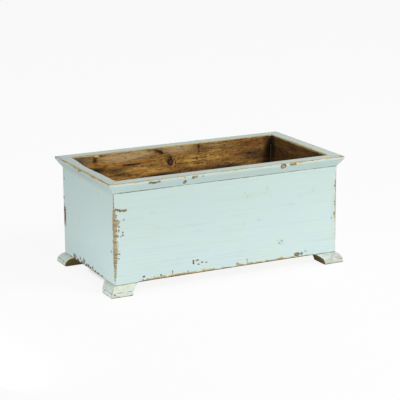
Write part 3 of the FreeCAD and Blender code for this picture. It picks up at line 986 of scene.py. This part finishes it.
def foot_block():
    """A foot's block, square at every height, with two bulging outer sides and two hollow inner ones."""
    bm = bmesh.new()
    low, high = -foot_inside(0), foot_outside(0)
    plan = ((low, low), (high, low), (high, high), (low, high))
    face = bm.faces.new([bm.verts.new((x, y, 0)) for x, y in plan])
    for below, above in zip(foot_heights, foot_heights[1:]):
        lower = face
        face = raise_face(bm, lower, (0, 0, above - below))
        if below > 0:
            bmesh.ops.delete(bm, geom=[lower], context="FACES_ONLY")
        middle = face.calc_center_median()
        low, high = -foot_inside(above), foot_outside(above)
        growth = (high - low) / (face.verts[0].co - face.verts[1].co).length
        shift = ((low + high) / 2 - middle.x, (low + high) / 2 - middle.y, 0)
        bmesh.ops.scale(bm, vec=(growth, growth, 1), verts=face.verts, space=Matrix.Translation(-middle))
        bmesh.ops.translate(bm, vec=shift, verts=face.verts)
    face_outward(bm)
    return bm


def bore_for_screws(bm, bottom):
    """Sink two round holes with flat ends into a foot's bottom, where its screws' heads sit."""
    outline = bottom.edges[:]
    bmesh.ops.delete(bm, geom=[bottom], context="FACES_ONLY")
    for inset_x, inset_y in screw_insets:
        bmesh.ops.create_circle(bm, cap_ends=False, segments=hole_sides, radius=counterbore_radius,
                                matrix=Matrix.Translation((-inset_x, -inset_y, 0)))
    mouths = [edge for edge in bm.edges if edge.is_wire]
    made = bmesh.ops.extrude_edge_only(bm, edges=mouths)["geom"]
    ends = [part for part in made if isinstance(part, bmesh.types.BMVert)]
    bmesh.ops.translate(bm, verts=ends, vec=(0, 0, counterbore_depth))
    bmesh.ops.edgeloop_fill(bm, edges=edges_at(bm, lambda co: near(co.z, counterbore_depth)))
    bmesh.ops.triangle_fill(bm, use_beauty=True, edges=outline + mouths, normal=(0, 0, -1))


def foot_runs(out, z):
    """The lines along a foot's side and front, at one distance out from the walls and one height."""
    deep = foot_inside(0)
    corner = Vector((out, out, z))
    return (Vector((out, -deep, z)), corner), (Vector((-deep, out, z)), corner)


def corner_foot(name, along, across, finish, front_wear=crest_wear, front_dirt=crest_dirt, nose=foot_easing):
    """A foot, made at the back right corner and mirrored to its own."""
    bm = foot_block()
    uprights = [edge for edge in bm.edges if edge.calc_face_angle(0) > 0.9
                and not near(edge.verts[0].co.z, edge.verts[1].co.z)]
    arrises = [(edge.verts[0].co.copy(), edge.verts[1].co.copy(), evenly, foot_corner) for edge in uprights
               if edge.verts[0].co.x > 0 or edge.verts[0].co.y > 0]
    outer = [edge for edge in uprights if edge.verts[0].co.x > 0 and edge.verts[0].co.y > 0]
    ease_edges(bm, [edge for edge in uprights if edge not in outer], foot_easing, 2)
    ease_edges(bm, outer, nose, 4)
    long_edges = [edge for edge in bm.edges if edge.calc_length() > foot_top_depth / 2]
    bmesh.ops.subdivide_edges(bm, edges=long_edges, cuts=foot_cuts)
    bmesh.ops.poke(bm, faces=flat_faces(bm, wall_bottom))
    bore_for_screws(bm, flat_faces(bm, 0)[0])
    crest = foot_outside(crest_height)
    shade_height = wall_bottom + foot_shade_rise
    arrises += [(*run, evenly, toe_wear) for run in foot_runs(foot_outside(toe_wear_height), toe_wear_height)]
    crest_runs = zip(foot_runs(crest, crest_height), (faint_wear, front_wear))
    rubbed = [(*run, less_up_and_down, reaches) for run, reaches in crest_runs]
    dirty_run = foot_runs(crest + crest_dirt_standoff, crest_height)[1]
    # The band along the top of the foot's side, just under the wall, is painted shade
    side_top = Vector((0, -foot_top_depth, shade_height)), Vector((0, 0, shade_height))
    front_top = Vector((-foot_top_depth, 0, wall_bottom)), Vector((0, 0, wall_bottom))
    dirt_and_shade_lines = [(*dirty_run, evenly, front_dirt), (*side_top, evenly, foot_shade),
              (*front_top, evenly, foot_joint)]
    flip = Matrix.Diagonal((along, across, 1, 1))
    move = Matrix.Translation((along * wall_face_x, across * wall_face_y, 0)) @ flip
    bmesh.ops.transform(bm, matrix=move, verts=bm.verts[:])
    face_outward(bm)

    def never_painted(co):
        """The two inner sides, the sole and the screw holes."""
        x = along * co.x - wall_face_x
        y = across * co.y - wall_face_y
        depth = foot_inside(co.z) - foot_easing
        in_hole = max(x, y) < -hole_margin and co.z < counterbore_depth + hole_margin
        return x < -depth or y < -depth or co.z < sole_height or in_hole

    finish_piece(bm, name, finish, moved(arrises, move), moved(dirt_and_shade_lines, move), never_painted, 0.0, foot_bite,
                 moved(rubbed, move))


# The worn pieces
long_wall("worn_front_wall", -1, front_finish, (near_corner, far_corner), front_bottom)
long_wall("worn_back_wall", 1, back_finish, (usual, usual), usual)
end_wall("worn_left_end_wall", -1, left_finish, usual)
end_wall("worn_right_end_wall", 1, right_finish, usual)

rim_cap("worn_front_cap", 0.0, rim_face_x, rim_face_y, front_finish, thin_line, hairline, [brown_joint],
        front_rounding)
rim_cap("worn_right_cap", math.pi / 2, rim_face_y, rim_face_x, right_finish, thin_line, right_rim_inside,
        [hairline], right_rounding)
rim_cap("worn_back_cap", math.pi, rim_face_x, rim_face_y, back_finish, thin_line, back_rim_inside, [hairline],
        back_rounding)
rim_cap("worn_left_cap", -math.pi / 2, rim_face_y, rim_face_x, left_finish, left_rim, faint, [],
        left_rounding)

corner_foot("worn_front_left_foot", -1, -1, foot_finish)
corner_foot("worn_front_right_foot", 1, -1, grey_foot_finish, faint_wear, no_dirt, blunt_foot_easing)
corner_foot("worn_back_left_foot", -1, 1, foot_finish)
corner_foot("worn_back_right_foot", 1, 1, foot_finish)

# Solids that stay, with their finishes
kept_solids = (
    (floor_finish, ("front_floor_board", "middle_floor_board", "back_floor_board")),
    (bearer_finish, ("left_bearer", "middle_bearer", "right_bearer")),
    (steel_finish, ("corner_brads", "cap_brads", "floor_brads", "bearer_brads", "foot_screws")),
)
for finish, names in kept_solids:
    for name in names:
        for filled in bpy.data.objects[name].material_slots:
            filled.material = finish


# Floor, light and camera
def seen_rays(tree):
    """1 for what the camera sees, straight or by a mirror or glass, and 0 for light that lands on things."""
    ways = ("Camera", "Glossy", "Transmission")
    seen, mirrored, through = [node(tree, "ShaderNodeLightPath", {}, "Is %s Ray" % way) for way in ways]
    return larger(larger(seen, mirrored), through)


def pale_floor():
    """A wide white floor that keeps the shadow and looks white to the camera."""
    material, shader, place = new_finish("pale_floor")
    tree = place.tree
    wire_up(shader, {"Base Color": (0.9, 0.9, 0.9, 1.0), "Roughness": 0.9})
    x, y = [maths("ABSOLUTE", node(tree, "ShaderNodeSeparateXYZ", {0: place}, axis)) for axis in "XY"]
    under_box = ease(x, *shadow_ends) * ease(y, *shadow_sides)
    whitened = seen_rays(tree) * (1.0 - under_box) * 0.9
    white = node(tree, "ShaderNodeEmission", {"Strength": 1.0})
    mixed = node(tree, "ShaderNodeMixShader", {0: whitened, 1: Wire(tree, shader.outputs[0]), 2: white})
    wire_up(tree.nodes["Material Output"], {"Surface": mixed})
    bm = bmesh.new()
    bmesh.ops.create_grid(bm, x_segments=4, y_segments=4, size=floor_half_size)
    floor = new_object("floor", mesh_of(bm, "floor", material))


def studio_sky(strength):
    """Even light from all round, white to the camera."""
    world = bpy.data.worlds.new("studio")
    scene.world = world
    world.use_nodes = True
    tree = world.node_tree
    brightness = seen_rays(tree) * (1.0 - strength) + strength
    wire_up(tree.nodes["Background"], {"Color": (1.0, 1.0, 1.0, 1.0), "Strength": brightness})


def soft_lamp(name, place, target, width, height, power, colour=(1.0, 1.0, 1.0)):
    """A rectangular lamp aimed at a point, out of the camera's sight."""
    lamp = bpy.data.lights.new(name, "AREA")
    lamp.shape = "RECTANGLE"
    lamp.size = width
    lamp.size_y = height
    lamp.energy = power
    lamp.color = colour
    holder = new_object(name, lamp)
    holder.location = place
    holder.rotation_euler = (Vector(target) - Vector(place)).to_track_quat("-Z", "Y").to_euler()
    holder.visible_camera = False


def photo_camera(place, angles, focal_length):
    """A camera that sees the box as the photograph does."""
    lens = bpy.data.cameras.new("photo_view")
    lens.lens = focal_length
    camera = new_object("photo_view", lens)
    camera.location = place
    camera.rotation_euler = [math.radians(angle) for angle in angles]
    scene.camera = camera


pale_floor()
studio_sky(0.43)
soft_lamp("key", (1.6, -2.3, 2.3), (0.0, 0.0, 0.15), width=1.4, height=1.4, power=77.5)
soft_lamp("low_fill", (-0.85, -0.15, 0.035), (-0.3, 0.0, 0.03), width=0.9, height=0.06, power=1.38,
          colour=(0.94, 0.98, 1.0))
photo_camera((-1.59494, -3.17746, 1.0810), (75.5079, 0.3847, -26.7699), 130.951)
scene.view_settings.view_transform = "Standard"
